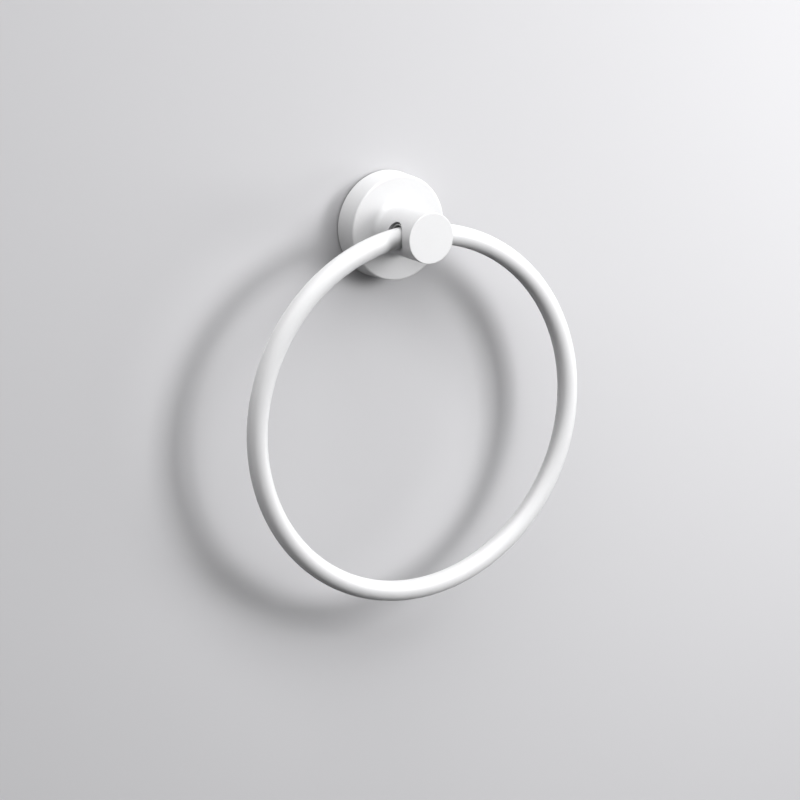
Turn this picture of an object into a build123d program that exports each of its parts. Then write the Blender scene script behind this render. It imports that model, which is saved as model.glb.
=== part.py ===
from build123d import *
from math import cos, radians, sin, sqrt
import os

# Towel ring for a wall, in millimetres.
# The wall is the XZ plane, the post stands out along -Y and the ring hangs towards -Z.

# Ring: round bar rolled to a circle and butt-welded
ring_outer_diameter = 160.0
bar_diameter = 8.5
ring_stand_off = 25.0  # wall to the ring's plane

# Holder: flange and post in one casting, hollow from behind
flange_diameter = 45.0  # at the wall
flange_draft = 0.5  # how far the rim draws in towards the front
flange_depth = 11.1
flange_edge_round = 0.8
rim_wall = 3.0
face_wall = 3.0
post_diameter = 21.2
post_nose = 11.3  # ring's plane to the end face
post_edge_round = 0.35
post_base_fillet = 2.5
core_diameter = 12.0  # blind core that lightens the post
core_end_wall = 2.5  # metal between the core and the cross bore
bore_edge_round = 0.2

# Bush: thin sleeve, cut square, that lies loose on the floor of the post's cross bore
bush_wall = 0.4
bush_set_back = 0.9  # post's side to the bush's ends, above the bar
bush_edge_round = 0.1
bush_play = 0.38  # bush to bore, all round
seat_gap = 0.05  # left between the bush and the floor
swing_clearance = 0.08  # bar to the bush's ends

# Wall bracket: pressed dish whose edge leans out from the wall
bracket_sheet = 1.8
bracket_flare = 3.5  # how far the edge leans out
bracket_rim_gap = 2.0  # rim to the flange's inner wall
bracket_front_gap = 1.5  # rim to the back of the flange's face
bend_radius = 1.0  # inside the dish
screw_spacing = 16.0
slot_length = 7.5
slot_width = 4.5

# Hook: lip inside the top of the flange that catches behind the bracket's edge
hook_angle = 80.0
hook_set_back = 1.5  # wall to the lip
hook_thickness = 2.5
hook_clearance = 0.2

# Grub screw: M4 in the underside of the flange
grub_diameter = 4.0
grub_tip_diameter = 2.5
grub_socket = 2.0  # across flats
grub_socket_depth = 2.0
grub_chamfer = 0.4
grub_recess = 0.5  # sunk below the rim
grub_edge_wall = 2.0  # metal between its hole and the flange's back edge
thread_clearance = 0.05
tip_clearance = 0.05

# Sizes that follow
bar_radius = bar_diameter / 2
ring_radius = ring_outer_diameter / 2 - bar_radius
flange_radius = flange_diameter / 2
flange_front_radius = flange_radius - flange_draft
post_radius = post_diameter / 2
post_end = ring_stand_off + post_nose
cavity_radius = flange_radius - rim_wall
cavity_depth = flange_depth - face_wall
bracket_depth = cavity_depth - bracket_front_gap
bracket_rim_radius = cavity_radius - bracket_rim_gap
bracket_base_radius = bracket_rim_radius - bracket_flare


def bracket_edge(depth):
    return bracket_base_radius + bracket_flare * depth / bracket_depth


# The bar curves within the bush, so the bush has to be wider than the bar for the ring to swing
ring_inner_radius = ring_radius - bar_radius
bush_reach = sqrt(post_radius**2 - bar_radius**2) - bush_set_back
bar_sag = ring_inner_radius - sqrt(ring_inner_radius**2 - bush_reach**2)
bush_bore_radius = bar_radius + bar_sag + swing_clearance
bush_radius = bush_bore_radius + bush_wall
bore_radius = bush_radius + bush_play
core_depth = ring_stand_off - bore_radius - core_end_wall - cavity_depth

# The bush lies low in the bore, and the ring swings about the bush's axis
ring_drop = bush_play - seat_gap
ring_centre = -(ring_drop + ring_radius)

# The grub screw reaches from just below the rim's surface to the bracket's edge
grub_hole_radius = grub_diameter / 2 + thread_clearance
grub_stand_off = grub_edge_wall + grub_hole_radius
grub_contact_depth = min(grub_stand_off + grub_tip_diameter / 2, bracket_depth)
grub_tip = bracket_edge(grub_contact_depth) + tip_clearance
grub_head = flange_radius - flange_draft * grub_stand_off / flange_depth - grub_recess

cross_bore = Plane(origin=(0, -ring_stand_off, 0), x_dir=(0, 1, 0), z_dir=(1, 0, 0))
bush_axis = Plane(origin=(0, -ring_stand_off, -ring_drop), x_dir=(0, 1, 0), z_dir=(1, 0, 0))
os.makedirs("parts", exist_ok=True)

# Holder
with BuildPart() as holder:
    with BuildSketch(Plane.XY):
        with BuildLine():
            FilletPolyline(
                (0, -post_end),
                (post_radius, -post_end),
                (post_radius, -flange_depth),
                (flange_front_radius, -flange_depth),
                (flange_radius, 0),
                radius=[post_edge_round, post_base_fillet, flange_edge_round],
            )
            Polyline((flange_radius, 0), (0, 0), (0, -post_end))
        make_face()
    revolve(axis=Axis.Y)

    # Cast hollow of the flange, and the core that runs on into the post
    with BuildSketch(Plane.XZ):
        Circle(cavity_radius)
    extrude(amount=cavity_depth, mode=Mode.SUBTRACT)
    with BuildSketch(Plane.XZ.offset(cavity_depth)):
        Circle(core_diameter / 2)
    extrude(amount=core_depth, mode=Mode.SUBTRACT)

    # Hook lip, its inner face parallel to the bracket's leaning edge
    hook_start = radians(90 + hook_angle / 2)
    hook_front = hook_set_back + hook_thickness
    hook_plane = Plane(
        origin=(0, 0, 0),
        x_dir=(cos(hook_start), 0, sin(hook_start)),
        z_dir=(-sin(hook_start), 0, cos(hook_start)),
    )
    with BuildSketch(hook_plane):
        with BuildLine():
            Polyline(
                (bracket_edge(hook_set_back) + hook_clearance, -hook_set_back),
                (bracket_edge(hook_front) + hook_clearance, -hook_front),
                (cavity_radius + rim_wall / 2, -hook_front),
                (cavity_radius + rim_wall / 2, -hook_set_back),
                close=True,
            )
        make_face()
    revolve(axis=Axis.Y, revolution_arc=hook_angle)

    # Tapped hole for the grub screw, through the lowest part of the rim
    with BuildSketch(Plane.XY.offset(-flange_radius)):
        with Locations((0, -grub_stand_off)):
            Circle(grub_hole_radius)
    extrude(amount=flange_radius - bracket_rim_radius, mode=Mode.SUBTRACT)

    # Cross bore for the bush, with its two saddle-shaped mouths eased
    with BuildSketch(cross_bore):
        Circle(bore_radius)
    extrude(amount=post_radius, both=True, mode=Mode.SUBTRACT)
    mouths = holder.edges(Select.LAST).filter_by(GeomType.LINE, reverse=True)
    fillet(mouths, bore_edge_round)
holder.part.label = "holder"
export_step(holder.part, "parts/holder.step")

# Bush
with BuildPart() as ring_bush:
    with BuildSketch(bush_axis):
        Circle(bush_radius)
        Circle(bush_bore_radius, mode=Mode.SUBTRACT)
    extrude(amount=bush_reach, both=True)
    bush_ends = ring_bush.edges().filter_by(GeomType.CIRCLE)
    fillet(bush_ends, bush_edge_round)
ring_bush.part.label = "ring_bush"
export_step(ring_bush.part, "parts/ring_bush.step")

# Ring
with BuildPart() as ring:
    with BuildSketch(Plane.YZ):
        with Locations((-ring_stand_off, -ring_drop)):
            Circle(bar_radius)
    revolve(axis=Axis((0, -ring_stand_off, ring_centre), (0, 1, 0)))
ring.part.label = "ring"
export_step(ring.part, "parts/ring.step")

# Wall bracket, with two slots for the wall screws
with BuildPart() as wall_bracket:
    with BuildSketch(Plane.XY):
        with BuildLine():
            pressed = FilletPolyline(
                (0, 0),
                (bracket_base_radius, 0),
                (bracket_rim_radius, -bracket_depth),
                radius=[bend_radius + bracket_sheet],
            )
            offset(pressed, amount=bracket_sheet, side=Side.RIGHT, closed=True)
        make_face()
    revolve(axis=Axis.Y)
    split(bisect_by=Plane.XZ.offset(bracket_depth), keep=Keep.BOTTOM)
    with BuildSketch(Plane.XZ):
        with GridLocations(screw_spacing, 0, 2, 1):
            SlotOverall(slot_length, slot_width)
    extrude(amount=bracket_sheet, mode=Mode.SUBTRACT)
wall_bracket.part.label = "wall_bracket"
export_step(wall_bracket.part, "parts/wall_bracket.step")

# Grub screw, its socket facing down
with BuildPart() as grub_screw:
    with BuildSketch(Plane.XY.offset(-grub_head)):
        with Locations((0, -grub_stand_off)):
            Circle(grub_diameter / 2)
    extrude(amount=grub_head - grub_tip)
    tip_edge = grub_screw.edges().filter_by(GeomType.CIRCLE).sort_by(Axis.Z)[-1]
    chamfer(tip_edge, (grub_diameter - grub_tip_diameter) / 2)
    head_edge = grub_screw.edges().filter_by(GeomType.CIRCLE).sort_by(Axis.Z)[0]
    chamfer(head_edge, grub_chamfer)
    with BuildSketch(Plane.XY.offset(-grub_head)):
        with Locations((0, -grub_stand_off)):
            RegularPolygon(grub_socket / 2, 6, major_radius=False)
    extrude(amount=grub_socket_depth, mode=Mode.SUBTRACT)
grub_screw.part.label = "grub_screw"
export_step(grub_screw.part, "parts/grub_screw.step")
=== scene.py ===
import math

import bmesh
import bpy
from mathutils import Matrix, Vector


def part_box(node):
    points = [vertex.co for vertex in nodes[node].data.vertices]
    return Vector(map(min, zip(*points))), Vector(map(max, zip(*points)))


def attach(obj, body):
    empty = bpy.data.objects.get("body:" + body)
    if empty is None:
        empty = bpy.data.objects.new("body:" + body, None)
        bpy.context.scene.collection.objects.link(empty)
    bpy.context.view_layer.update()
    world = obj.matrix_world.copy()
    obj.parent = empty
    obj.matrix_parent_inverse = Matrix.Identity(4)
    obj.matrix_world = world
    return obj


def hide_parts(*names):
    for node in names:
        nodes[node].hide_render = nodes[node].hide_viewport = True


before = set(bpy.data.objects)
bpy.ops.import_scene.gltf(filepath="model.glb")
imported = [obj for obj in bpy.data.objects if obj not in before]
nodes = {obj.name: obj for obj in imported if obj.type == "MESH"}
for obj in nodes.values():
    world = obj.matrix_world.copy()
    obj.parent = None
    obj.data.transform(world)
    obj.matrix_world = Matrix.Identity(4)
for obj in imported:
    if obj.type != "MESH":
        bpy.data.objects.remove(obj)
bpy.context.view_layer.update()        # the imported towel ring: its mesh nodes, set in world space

scene = bpy.context.scene
ringLow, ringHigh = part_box("ring")
ringCentre = (ringLow + ringHigh) / 2
nodeStep = 180           # from one node to the next in the editor
print("frame loaded:", ", ".join(sorted(nodes)))


def feed(tree, socket, value):
    # a socket is linked, a plain value is written on the input
    if isinstance(value, bpy.types.NodeSocket):
        tree.links.new(value, socket)
    else:
        socket.default_value = value


def addNode(tree, kind, inputs=None, **settings):
    node = tree.nodes.new(kind)
    node.location = (nodeStep * len(tree.nodes), 0)
    for name, value in settings.items():
        setattr(node, name, value)
    for name, value in (inputs or {}).items():
        feed(tree, node.inputs[name], value)
    return node


def calc(tree, operation, *values):
    node = addNode(tree, "ShaderNodeMath", operation=operation)
    for socket, value in zip(node.inputs, values):
        feed(tree, socket, value)
    return node.outputs["Value"]


mixSockets = {"FLOAT": (0, 2, 3, 0), "RGBA": (0, 6, 7, 2)}   # share, both sides and result of a Mix node


def blend(tree, kind, share, first, second):
    node = addNode(tree, "ShaderNodeMix", data_type=kind)
    *sides, result = mixSockets[kind]
    for index, value in zip(sides, (share, first, second)):
        feed(tree, node.inputs[index], value)
    return node.outputs[result]


def newGroup(name, kind, inputs, outputs):
    tree = bpy.data.node_groups.new(name, kind)
    for label, socketType in inputs.items():
        tree.interface.new_socket(label, in_out="INPUT", socket_type="NodeSocket" + socketType)
    for label, socketType in outputs.items():
        tree.interface.new_socket(label, in_out="OUTPUT", socket_type="NodeSocket" + socketType)
    given = addNode(tree, "NodeGroupInput").outputs
    result = addNode(tree, "NodeGroupOutput").inputs
    return tree, given, result


# Shared effects
noiseDetail = {"patches": 2.0, "flecks": 3.0, "ripples": 1.0, "grain": 2.0, "lines": 3.0}
driftSpan = (0.3, 0.7)   # part of the noise's range that runs from the pale to the deep tone


def noise(tree, place, size, detail):
    scale = calc(tree, "DIVIDE", 1.0, size)
    inputs = {"Vector": place, "Scale": scale, "Detail": detail}
    return addNode(tree, "ShaderNodeTexNoise", inputs).outputs["Fac"]


def makeToneDrift():
    # slow patches with small flecks on them, for colour and gloss
    tree, given, result = newGroup(
        "toneDrift",
        "ShaderNodeTree",
        {
            "Vector": "Vector",
            "Patch Size": "Float",
            "Fleck Size": "Float",
            "Fleck Share": "Float",
            "Pale Tone": "Color",
            "Deep Tone": "Color",
            "Smoothest": "Float",
            "Roughest": "Float",
        },
        {"Color": "Color", "Roughness": "Float"},
    )
    patches = noise(tree, given["Vector"], given["Patch Size"], noiseDetail["patches"])
    flecks = noise(tree, given["Vector"], given["Fleck Size"], noiseDetail["flecks"])
    both = blend(tree, "FLOAT", given["Fleck Share"], patches, flecks)
    spread = addNode(
        tree,
        "ShaderNodeMapRange",
        {"Value": both, "From Min": driftSpan[0], "From Max": driftSpan[1]},
        interpolation_type="SMOOTHSTEP",
    ).outputs["Result"]
    tone = blend(tree, "RGBA", spread, given["Pale Tone"], given["Deep Tone"])
    gloss = addNode(
        tree,
        "ShaderNodeMapRange",
        {"Value": spread, "To Min": given["Smoothest"], "To Max": given["Roughest"]},
    )
    feed(tree, result["Color"], tone)
    feed(tree, result["Roughness"], gloss.outputs["Result"])
    return tree


def makeSkinGrain():
    # low ripples with a finer grain on them, as a height from 0 to 1
    tree, given, result = newGroup(
        "skinGrain",
        "ShaderNodeTree",
        {"Vector": "Vector", "Ripple Size": "Float", "Grain Size": "Float", "Grain Share": "Float"},
        {"Height": "Float"},
    )
    ripples = noise(tree, given["Vector"], given["Ripple Size"], noiseDetail["ripples"])
    grain = noise(tree, given["Vector"], given["Grain Size"], noiseDetail["grain"])
    feed(tree, result["Height"], blend(tree, "FLOAT", given["Grain Share"], ripples, grain))
    return tree


def makeToolLines():
    # fine lines side by side along Z, drawn out along the other two axes
    tree, given, result = newGroup(
        "toolLines",
        "ShaderNodeTree",
        {"Vector": "Vector", "Line Size": "Float", "Draw": "Float"},
        {"Mask": "Float"},
    )
    part = addNode(tree, "ShaderNodeSeparateXYZ", {"Vector": given["Vector"]}).outputs
    drawn = addNode(
        tree,
        "ShaderNodeCombineXYZ",
        {
            "X": calc(tree, "DIVIDE", part["X"], given["Draw"]),
            "Y": calc(tree, "DIVIDE", part["Y"], given["Draw"]),
            "Z": part["Z"],
        },
    ).outputs["Vector"]
    feed(tree, result["Mask"], noise(tree, drawn, given["Line Size"], noiseDetail["lines"]))
    return tree


toneDrift = makeToneDrift()
skinGrain = makeSkinGrain()
toolLines = makeToolLines()
print("shared effects:", toneDrift.name, skinGrain.name, toolLines.name)


def placeGroup(tree, group, inputs):
    node = addNode(tree, "ShaderNodeGroup", node_tree=group)
    for name, value in inputs.items():
        feed(tree, node.inputs[name], value)
    return node.outputs


def opaque(colour):
    return (*colour, 1.0)


def newFinish(name):
    material = bpy.data.materials.new(name)
    material.use_nodes = True
    tree = material.node_tree
    tree.nodes.clear()
    surface = addNode(tree, "ShaderNodeBsdfPrincipled")
    addNode(tree, "ShaderNodeOutputMaterial", {"Surface": surface.outputs["BSDF"]})
    return material, tree, surface.inputs


def objectPlace(tree):
    return addNode(tree, "ShaderNodeTexCoord").outputs["Object"]


def addDrift(tree, place, look):
    return placeGroup(
        tree,
        toneDrift,
        {
            "Vector": place,
            "Patch Size": look["patchSize"],
            "Fleck Size": look["fleckSize"],
            "Fleck Share": look["fleckShare"],
            "Pale Tone": opaque(look["paleTone"]),
            "Deep Tone": opaque(look["deepTone"]),
            "Smoothest": look["smoothest"],
            "Roughest": look["roughest"],
        },
    )


def addGrain(tree, place, look):
    return placeGroup(
        tree,
        skinGrain,
        {
            "Vector": place,
            "Ripple Size": look["rippleSize"],
            "Grain Size": look["grainSize"],
            "Grain Share": look["grainShare"],
        },
    )["Height"]


def addLines(tree, place, look):
    return placeGroup(
        tree,
        toolLines,
        {"Vector": place, "Line Size": look["lineSize"], "Draw": look["lineDraw"]},
    )["Mask"]


def passedOn(tree, tone, share):
    # a surface shows its full tone and lights its neighbours with a share of it
    bounced = addNode(tree, "ShaderNodeLightPath").outputs["Is Diffuse Ray"]
    strength = addNode(tree, "ShaderNodeMapRange", {"Value": bounced, "To Min": 1.0, "To Max": share})
    node = addNode(tree, "ShaderNodeVectorMath", {"Scale": strength.outputs["Result"]}, operation="SCALE")
    feed(tree, node.inputs[0], tone)
    return node.outputs["Vector"]


def raised(tree, height, depth, under=None):
    node = addNode(tree, "ShaderNodeBump", {"Distance": depth, "Height": height})
    if under is not None:
        feed(tree, node.inputs["Normal"], under)
    return node.outputs["Normal"]


# White powder coat of the holder and the ring
whiteCoat = {
    "paleTone": (0.855, 0.855, 0.865),
    "deepTone": (0.835, 0.835, 0.845),
    "smoothest": 0.40,
    "roughest": 0.50,
    "patchSize": 0.030,     # metres, as all sizes here
    "fleckSize": 0.0012,
    "fleckShare": 0.35,
    "rippleSize": 0.0011,   # one ripple of the orange peel
    "grainSize": 0.00028,
    "grainShare": 0.25,
    "peelDepth": 0.000007,
    "bounceShare": 0.4,     # of its tone, in the light it passes on
}


def makeWhiteCoat(look):
    material, tree, surface = newFinish("whiteCoat")
    place = objectPlace(tree)
    drift = addDrift(tree, place, look)
    peel = addGrain(tree, place, look)
    feed(tree, surface["Base Color"], passedOn(tree, drift["Color"], look["bounceShare"]))
    feed(tree, surface["Roughness"], drift["Roughness"])
    feed(tree, surface["Normal"], raised(tree, peel, look["peelDepth"]))
    return material


# Natural nylon of the bush, turned to size
bushNylon = {
    "paleTone": (0.84, 0.84, 0.83),
    "deepTone": (0.79, 0.79, 0.78),
    "smoothest": 0.36,
    "roughest": 0.48,
    "patchSize": 0.006,
    "fleckSize": 0.0008,
    "fleckShare": 0.3,
    "lineSize": 0.00012,
    "lineDraw": 60.0,
    "lineDepth": 0.000004,
    "bounceShare": 0.4,
}


def makeBushNylon(look):
    material, tree, surface = newFinish("bushNylon")
    place = objectPlace(tree)
    drift = addDrift(tree, place, look)
    turned = addNode(tree, "ShaderNodeMapping", {"Vector": place, "Rotation": (0.0, math.pi / 2, 0.0)})
    lines = addLines(tree, turned.outputs["Vector"], look)    # rings round the bore, which runs along X
    feed(tree, surface["Base Color"], passedOn(tree, drift["Color"], look["bounceShare"]))
    feed(tree, surface["Roughness"], drift["Roughness"])
    feed(tree, surface["Normal"], raised(tree, lines, look["lineDepth"]))
    return material


# Zinc-plated sheet of the wall bracket
zincPlate = {
    "paleTone": (0.70, 0.72, 0.74),
    "deepTone": (0.56, 0.58, 0.61),
    "smoothest": 0.24,
    "roughest": 0.42,
    "patchSize": 0.008,
    "fleckSize": 0.0009,
    "fleckShare": 0.45,
    "rippleSize": 0.0016,
    "grainSize": 0.0003,
    "grainShare": 0.4,
    "grainDepth": 0.000009,
    "lineSize": 0.00025,
    "lineDraw": 45.0,       # rolling lines run along X
    "lineDepth": 0.000006,
}


def makeZincPlate(look):
    material, tree, surface = newFinish("zincPlate")
    place = objectPlace(tree)
    drift = addDrift(tree, place, look)
    lines = addLines(tree, place, look)
    grain = addGrain(tree, place, look)
    surface["Metallic"].default_value = 1.0
    feed(tree, surface["Base Color"], drift["Color"])
    feed(tree, surface["Roughness"], drift["Roughness"])
    rolled = raised(tree, lines, look["lineDepth"])
    feed(tree, surface["Normal"], raised(tree, grain, look["grainDepth"], rolled))
    return material


# Bare stainless steel of the grub screw
screwSteel = {
    "paleTone": (0.60, 0.59, 0.57),
    "deepTone": (0.46, 0.45, 0.44),
    "smoothest": 0.22,
    "roughest": 0.38,
    "patchSize": 0.002,
    "fleckSize": 0.0003,
    "fleckShare": 0.4,
    "lineSize": 0.00006,
    "lineDraw": 50.0,       # turning marks go round Z
    "lineDepth": 0.000003,
}


def makeScrewSteel(look):
    material, tree, surface = newFinish("screwSteel")
    place = objectPlace(tree)
    drift = addDrift(tree, place, look)
    lines = addLines(tree, place, look)
    surface["Metallic"].default_value = 1.0
    feed(tree, surface["Base Color"], drift["Color"])
    feed(tree, surface["Roughness"], drift["Roughness"])
    feed(tree, surface["Normal"], raised(tree, lines, look["lineDepth"]))
    return material


finishes = {
    "coat": makeWhiteCoat(whiteCoat),
    "nylon": makeBushNylon(bushNylon),
    "zinc": makeZincPlate(zincPlate),
    "steel": makeScrewSteel(screwSteel),
}
nodeFinish = {"holder": "coat", "ring_bush": "nylon", "wall_bracket": "zinc"}
for name, finish in nodeFinish.items():
    nodes[name].data.materials.clear()
    nodes[name].data.materials.append(finishes[finish])
print("finishes:", ", ".join(m.name for m in finishes.values()))


def bakeTree(name, tree, values):
    piece = bpy.data.objects.new(name, bpy.data.meshes.new(name + "Start"))
    scene.collection.objects.link(piece)
    maker = piece.modifiers.new("maker", "NODES")
    maker.node_group = tree
    for item in tree.interface.items_tree:
        if item.in_out == "INPUT" and item.name in values:
            maker[item.identifier] = values[item.name]
    made = piece.evaluated_get(bpy.context.evaluated_depsgraph_get())
    mesh = bpy.data.meshes.new_from_object(made)
    piece.modifiers.remove(maker)
    piece.data = mesh
    mesh.name = name
    return piece


# Ring: a round bar along a circle
ringBar = {"pathSteps": 360, "barSteps": 64}


def makeRingTree():
    tree, given, result = newGroup(
        "ringBarTree",
        "GeometryNodeTree",
        {
            "Geometry": "Geometry",
            "Ring Radius": "Float",
            "Bar Radius": "Float",
            "Centre": "Vector",
            "Path Steps": "Int",
            "Bar Steps": "Int",
            "Finish": "Material",
        },
        {"Geometry": "Geometry"},
    )
    circle = "GeometryNodeCurvePrimitiveCircle"
    path = addNode(tree, circle, {"Resolution": given["Path Steps"], "Radius": given["Ring Radius"]})
    section = addNode(tree, circle, {"Resolution": given["Bar Steps"], "Radius": given["Bar Radius"]})
    bar = addNode(
        tree,
        "GeometryNodeCurveToMesh",
        {"Curve": path.outputs["Curve"], "Profile Curve": section.outputs["Curve"]},
    )
    upright = addNode(
        tree,
        "GeometryNodeTransform",
        {
            "Geometry": bar.outputs["Mesh"],
            "Translation": given["Centre"],
            "Rotation": (math.pi / 2, 0.0, 0.0),
        },
    )
    smooth = addNode(tree, "GeometryNodeSetShadeSmooth", {"Geometry": upright.outputs["Geometry"]})
    whole = addNode(tree, "GeometryNodeRealizeInstances", {"Geometry": smooth.outputs["Geometry"]})
    coated = addNode(
        tree,
        "GeometryNodeSetMaterial",
        {"Geometry": whole.outputs["Geometry"], "Material": given["Finish"]},
    )
    feed(tree, result["Geometry"], coated.outputs["Geometry"])
    return tree


def makeRing(look):
    barRadius = (ringHigh.y - ringLow.y) / 2
    ringRadius = (ringHigh.x - ringLow.x) / 2 - barRadius
    piece = bakeTree(
        "ring_bar",
        makeRingTree(),
        {
            "Ring Radius": ringRadius,
            "Bar Radius": barRadius,
            "Centre": ringCentre,
            "Path Steps": look["pathSteps"],
            "Bar Steps": look["barSteps"],
            "Finish": finishes["coat"],
        },
    )
    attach(piece, "hanging_ring")
    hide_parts("ring")
    return piece


ring = makeRing(ringBar)
print("ring:", len(ring.data.polygons), "faces")

# Grub screw: a cut thread between a hex-socket head and a cut-off cone tip
grubScrew = {
    "pitch": 0.0007,
    "threadDepth": 0.00038,
    "crestShare": 0.12,     # flat part of crest and root
    "fadeLength": 0.0004,   # where the thread runs out at both ends
    "aroundSteps": 72,
    "pitchSteps": 14,
    "headChamfer": 0.0004,
    "tipRadius": 0.00125,
    "socketFlats": 0.002,
    "socketDepth": 0.002,
    "socketEdge": 0.00006,
    "weldGap": 0.000001,    # points closer than this are one
    "sharpAngle": 32.0,
}


def makeThreadTree():
    tree, given, result = newGroup(
        "threadTree",
        "GeometryNodeTree",
        {
            "Geometry": "Geometry",
            "Radius": "Float",
            "Length": "Float",
            "Pitch": "Float",
            "Depth": "Float",
            "Crest Share": "Float",
            "Fade Length": "Float",
            "Base": "Vector",
            "Weld Gap": "Float",
            "Around Steps": "Int",
            "Along Steps": "Int",
            "Finish": "Material",
        },
        {"Geometry": "Geometry"},
    )
    sheet = addNode(
        tree,
        "GeometryNodeMeshGrid",
        {
            "Size X": 1.0,
            "Size Y": 1.0,
            "Vertices X": calc(tree, "ADD", given["Around Steps"], 1.0),
            "Vertices Y": given["Along Steps"],
        },
    )
    place = addNode(tree, "GeometryNodeInputPosition").outputs["Position"]
    part = addNode(tree, "ShaderNodeSeparateXYZ", {"Vector": place}).outputs
    turn = calc(tree, "ADD", part["X"], 0.5)
    height = calc(tree, "MULTIPLY", calc(tree, "ADD", part["Y"], 0.5), given["Length"])
    phase = calc(tree, "SUBTRACT", calc(tree, "DIVIDE", height, given["Pitch"]), turn)
    flank = calc(tree, "MULTIPLY", calc(tree, "PINGPONG", phase, 0.5), 2.0)
    groove = addNode(
        tree,
        "ShaderNodeMapRange",
        {
            "Value": flank,
            "From Min": given["Crest Share"],
            "From Max": calc(tree, "SUBTRACT", 1.0, given["Crest Share"]),
        },
    ).outputs["Result"]
    toEnd = calc(tree, "MINIMUM", height, calc(tree, "SUBTRACT", given["Length"], height))
    fade = addNode(
        tree,
        "ShaderNodeMapRange",
        {"Value": toEnd, "From Max": given["Fade Length"]},
    ).outputs["Result"]
    cut = calc(tree, "MULTIPLY", calc(tree, "MULTIPLY", groove, fade), given["Depth"])
    radius = calc(tree, "SUBTRACT", given["Radius"], cut)
    angle = calc(tree, "MULTIPLY", turn, 2 * math.pi)
    rolled = addNode(
        tree,
        "ShaderNodeCombineXYZ",
        {
            "X": calc(tree, "MULTIPLY", radius, calc(tree, "COSINE", angle)),
            "Y": calc(tree, "MULTIPLY", radius, calc(tree, "SINE", angle)),
            "Z": height,
        },
    ).outputs["Vector"]
    based = addNode(tree, "ShaderNodeVectorMath", operation="ADD")
    feed(tree, based.inputs[0], rolled)
    feed(tree, based.inputs[1], given["Base"])
    bent = addNode(
        tree,
        "GeometryNodeSetPosition",
        {"Geometry": sheet.outputs["Mesh"], "Position": based.outputs["Vector"]},
    )
    closed = addNode(
        tree,
        "GeometryNodeMergeByDistance",
        {"Geometry": bent.outputs["Geometry"], "Distance": given["Weld Gap"]},
    )
    whole = addNode(tree, "GeometryNodeRealizeInstances", {"Geometry": closed.outputs["Geometry"]})
    bare = addNode(
        tree,
        "GeometryNodeSetMaterial",
        {"Geometry": whole.outputs["Geometry"], "Material": given["Finish"]},
    )
    feed(tree, result["Geometry"], bare.outputs["Geometry"])
    return tree


def hexRadius(angle, flats):
    fromFlat = angle % (math.pi / 3) - math.pi / 6
    return flats / 2 / math.cos(fromFlat)


def addRim(bm, rim, middle, height, radiusAt):
    # one more loop of faces from an open rim to a new one
    angles = [math.atan2(v.co.y - middle.y, v.co.x - middle.x) for v in rim]
    fresh = []
    for angle in angles:
        radius = radiusAt(angle)
        spot = (middle.x + radius * math.cos(angle), middle.y + radius * math.sin(angle), height)
        fresh.append(bm.verts.new(spot))
    count = len(rim)
    for i in range(count):
        j = (i + 1) % count
        bm.faces.new((rim[i], rim[j], fresh[j], fresh[i]))
    return fresh


def openRim(bm, middle, height, gap):
    level = [v for v in bm.verts if v.is_boundary and abs(v.co.z - height) < gap]
    return sorted(level, key=lambda v: math.atan2(v.co.y - middle.y, v.co.x - middle.x))


def makeGrubScrew(look):
    low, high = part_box("grub_screw")
    middle = (low + high) / 2
    radius = (high.x - low.x) / 2
    threadLow = low.z + look["headChamfer"]
    threadHigh = high.z - (radius - look["tipRadius"])
    length = threadHigh - threadLow
    piece = bakeTree(
        "grub_screw_threaded",
        makeThreadTree(),
        {
            "Radius": radius,
            "Length": length,
            "Pitch": look["pitch"],
            "Depth": look["threadDepth"],
            "Crest Share": look["crestShare"],
            "Fade Length": look["fadeLength"],
            "Base": (middle.x, middle.y, threadLow),
            "Weld Gap": look["weldGap"],
            "Around Steps": look["aroundSteps"],
            "Along Steps": round(length / look["pitch"] * look["pitchSteps"]),
            "Finish": finishes["steel"],
        },
    )
    bm = bmesh.new()
    bm.from_mesh(piece.data)
    tip = openRim(bm, middle, threadHigh, look["weldGap"])
    head = openRim(bm, middle, threadLow, look["weldGap"])
    bm.faces.new(addRim(bm, tip, middle, high.z, lambda angle: look["tipRadius"]))
    faceRadius = radius - look["headChamfer"]
    flats, edge = look["socketFlats"], look["socketEdge"]
    face = addRim(bm, head, middle, low.z, lambda angle: faceRadius)
    mouth = addRim(bm, face, middle, low.z, lambda angle: hexRadius(angle, flats) + edge)
    lip = addRim(bm, mouth, middle, low.z + edge, lambda angle: hexRadius(angle, flats))
    floor = addRim(bm, lip, middle, low.z + look["socketDepth"], lambda angle: hexRadius(angle, flats))
    bm.faces.new(floor)
    bmesh.ops.recalc_face_normals(bm, faces=bm.faces)
    bm.to_mesh(piece.data)
    bm.free()
    piece.data.shade_smooth()
    piece.data.set_sharp_from_angle(angle=math.radians(look["sharpAngle"]))
    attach(piece, "wall_fitting")
    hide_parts("grub_screw")
    return piece


grub = makeGrubScrew(grubScrew)
print("grub screw:", len(grub.data.polygons), "faces")

# Wall and floor, and a flag in the gap between flange and wall
stageSet = {
    "wallGap": 0.001,       # wall face behind the flange
    "halfWidth": 1.8,
    "wallTop": 1.4,
    "floorDrop": 1.0,
    "floorDepth": 2.4,
    "coveRadius": 0.3,
    "coveSteps": 14,
    "paint": (0.692, 0.689, 0.706),
    "paintRoughness": 1.0,
    "bounceShare": 0.09,
    "flagTone": (0.0, 0.0, 0.0),
    "flagInset": 0.0002,    # from the flange's edge
    "flagSteps": 64,
}


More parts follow.
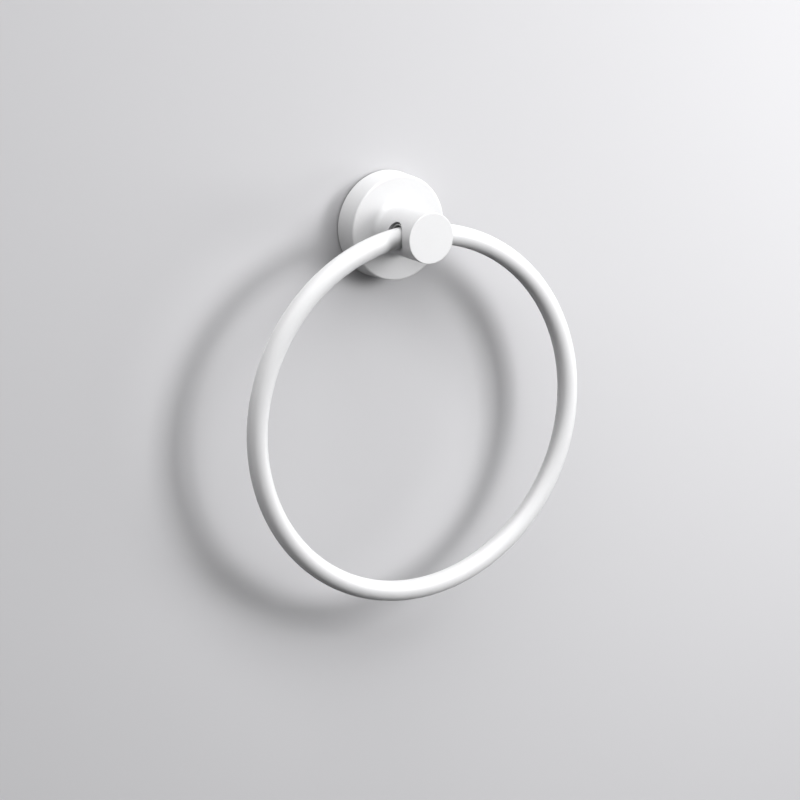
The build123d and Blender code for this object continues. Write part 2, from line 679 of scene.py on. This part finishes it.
def makeWallPaint(look):
    # seen from behind it is clear, and lamps behind it still reach the object's back
    material, tree, surface = newFinish("wallPaint")
    feed(tree, surface["Base Color"], passedOn(tree, look["paint"], look["bounceShare"]))
    surface["Roughness"].default_value = look["paintRoughness"]
    surface["Specular IOR Level"].default_value = 0.0
    behind = addNode(tree, "ShaderNodeNewGeometry").outputs["Backfacing"]
    lamplight = addNode(tree, "ShaderNodeLightPath").outputs["Is Shadow Ray"]
    mixed = addNode(tree, "ShaderNodeMixShader", {"Fac": calc(tree, "MAXIMUM", behind, lamplight)})
    feed(tree, mixed.inputs[1], tree.nodes["Principled BSDF"].outputs["BSDF"])
    feed(tree, mixed.inputs[2], addNode(tree, "ShaderNodeBsdfTransparent").outputs["BSDF"])
    feed(tree, tree.nodes["Material Output"].inputs["Surface"], mixed.outputs["Shader"])
    return material


def makeBackdrop(look):
    gap, drop, cove = look["wallGap"], look["floorDrop"], look["coveRadius"]
    profile = [(gap, look["wallTop"])]
    for step in range(look["coveSteps"] + 1):
        turn = math.pi / 2 * step / look["coveSteps"]
        profile.append((gap - cove + cove * math.cos(turn), -drop + cove - cove * math.sin(turn)))
    profile.append((-look["floorDepth"], -drop))
    half = look["halfWidth"]
    points = [(x, y, z) for y, z in profile for x in (-half, half)]
    faces = [(2 * i, 2 * i + 2, 2 * i + 3, 2 * i + 1) for i in range(len(profile) - 1)]
    mesh = bpy.data.meshes.new("backdrop")
    mesh.from_pydata(points, [], faces)
    mesh.shade_smooth()
    mesh.materials.append(makeWallPaint(look))
    backdrop = bpy.data.objects.new("backdrop", mesh)
    scene.collection.objects.link(backdrop)


def makeFlag(look):
    # a black card that stops light bounced into the gap, and that nothing else sees
    low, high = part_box("holder")
    radius = (high.x - low.x) / 2 - look["flagInset"]
    turns = [2 * math.pi * step / look["flagSteps"] for step in range(look["flagSteps"])]
    points = [(radius * math.cos(a), look["wallGap"] / 2, radius * math.sin(a)) for a in turns]
    mesh = bpy.data.meshes.new("flag")
    mesh.from_pydata(points, [], [range(len(points))])
    material, _, surface = newFinish("flagBlack")
    surface["Base Color"].default_value = opaque(look["flagTone"])
    surface["Specular IOR Level"].default_value = 0.0
    mesh.materials.append(material)
    flag = bpy.data.objects.new("flag", mesh)
    scene.collection.objects.link(flag)
    flag.visible_camera = False
    flag.visible_glossy = False
    flag.visible_shadow = False


makeBackdrop(stageSet)
makeFlag(stageSet)
print("stage: backdrop, flag")

# Lamps, placed by compass turn and height round the ring's centre
lamps = {
    "keyLamp": {"turn": 38.3, "rise": 16.5, "reach": 0.71, "size": (0.178, 0.246), "watts": 2.25},
    "haloLamp": {"turn": 35.2, "rise": 29.8, "reach": 1.025, "size": (0.52, 0.8), "watts": 3.24},
    "topLamp": {"turn": -21.7, "rise": 55.0, "reach": 2.6, "size": (15.75, 1.48), "watts": 173.0},
    "overLamp": {"turn": -8.0, "rise": 88.0, "reach": 2.5, "size": (0.775, 0.15), "watts": 26.5},
    "sideLamp": {"turn": -87.2, "rise": -23.0, "reach": 2.5, "size": (0.4, 0.25), "watts": 3.44},
    "lowLamp": {"turn": 68.8, "rise": -6.4, "reach": 2.5, "size": (0.8, 0.6), "watts": 11.1},
    "backLamp": {"turn": 165.0, "rise": 12.0, "reach": 1.5, "size": (1.0, 1.0), "watts": 12.0},
}


def heading(turn, rise):
    a, e = math.radians(turn), math.radians(rise)
    return Vector((math.sin(a) * math.cos(e), -math.cos(a) * math.cos(e), math.sin(e)))


def addLamp(name, look):
    data = bpy.data.lights.new(name, "AREA")
    data.shape = "RECTANGLE"
    data.size, data.size_y = look["size"]
    data.energy = look["watts"]
    lamp = bpy.data.objects.new(name, data)
    scene.collection.objects.link(lamp)
    away = heading(look["turn"], look["rise"])
    lamp.location = ringCentre + away * look["reach"]
    lamp.rotation_mode = "QUATERNION"
    lamp.rotation_quaternion = (-away).to_track_quat("-Z", "Y")
    lamp.visible_camera = False


for name, look in lamps.items():
    addLamp(name, look)
print("lamps:", ", ".join(lamps))

# Camera at the photograph's angle
photoView = {
    "turn": -31.829,        # to the left of square-on, in degrees
    "rise": 14.583,
    "reach": 1.4357,
    "aimShift": (0.0075, 0.025, -0.00064),   # from the ring's centre to the aim on the wall
    "lens": 153.36,
    "sensorWidth": 36.0,
}


def addCamera(look):
    data = bpy.data.cameras.new("photoCamera")
    data.lens = look["lens"]
    data.sensor_width = look["sensorWidth"]
    camera = bpy.data.objects.new("photoCamera", data)
    scene.collection.objects.link(camera)
    away = heading(look["turn"], look["rise"])
    camera.location = ringCentre + Vector(look["aimShift"]) + away * look["reach"]
    camera.rotation_mode = "QUATERNION"
    camera.rotation_quaternion = (-away).to_track_quat("-Z", "Y")
    scene.camera = camera


addCamera(photoView)
print("camera:", scene.camera.name)

# World: a pale surround to look at and to mirror, with no light of its own
surround = {
    "tone": (1.0, 1.0, 1.0),
    "paleness": 0.62,       # as the camera sees it
    "mirrored": 0.45,       # as metal and coat show it
}


def makeSurround(look):
    world = bpy.data.worlds.new("surround")
    world.use_nodes = True
    tree = world.node_tree
    tree.nodes.clear()
    rays = addNode(tree, "ShaderNodeLightPath").outputs
    seen = calc(tree, "MULTIPLY", rays["Is Camera Ray"], look["paleness"])
    mirrored = calc(tree, "MULTIPLY", rays["Is Glossy Ray"], look["mirrored"])
    strength = calc(tree, "ADD", seen, mirrored)
    shade = addNode(tree, "ShaderNodeBackground", {"Color": opaque(look["tone"]), "Strength": strength})
    addNode(tree, "ShaderNodeOutputWorld", {"Surface": shade.outputs["Background"]})
    scene.world = world


makeSurround(surround)
scene.view_settings.view_transform = "Standard"
print("world:", scene.world.name)
